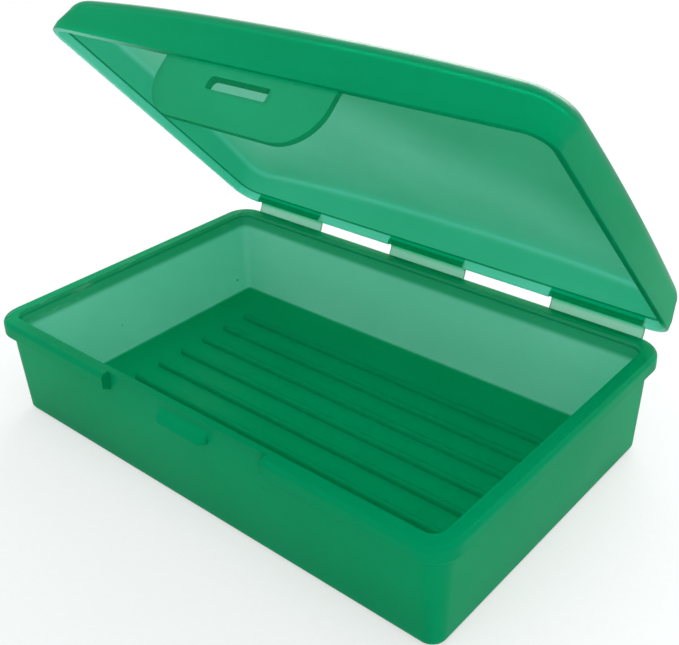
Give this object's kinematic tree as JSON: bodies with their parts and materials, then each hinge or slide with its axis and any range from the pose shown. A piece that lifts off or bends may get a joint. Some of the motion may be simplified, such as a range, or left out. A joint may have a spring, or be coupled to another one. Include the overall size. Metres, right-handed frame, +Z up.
{
  "type": "covered soap dish",
  "caption": "Rectangular soap dish with a hinged domed cover, a slotted snap tab at the front, thin flexible hinge straps at the back and a ribbed tray floor.",
  "frame": {"origin": "centre of the flat underside of the tray", "axes": "+X along the length of the dish, +Y towards the hinge straps at the back, +Z up; the lid is shown open by 47 degrees"},
  "size_m": [0.111, 0.0778, 0.0813],
  "materials": {
    "green_plastic": "satin, slightly translucent",
    "thin_film": "satin, translucent where it is thin"
  },
  "bodies": {
    "tray": {"tray": "green_plastic", "hinge_strap_left": "thin_film", "hinge_strap_middle": "thin_film", "hinge_strap_right": "thin_film"},
    "lid": {"lid": "green_plastic"}
  },
  "joints": [
    {"name": "lid_hinge", "type": "hinge", "parent": "tray", "child": "lid", "pos_m": [0, 0.0371, 0.02165], "axis": [-1, 0, 0], "range_deg": [-47, 133], "deforming": ["hinge_strap_left", "hinge_strap_middle", "hinge_strap_right"]}
  ]
}
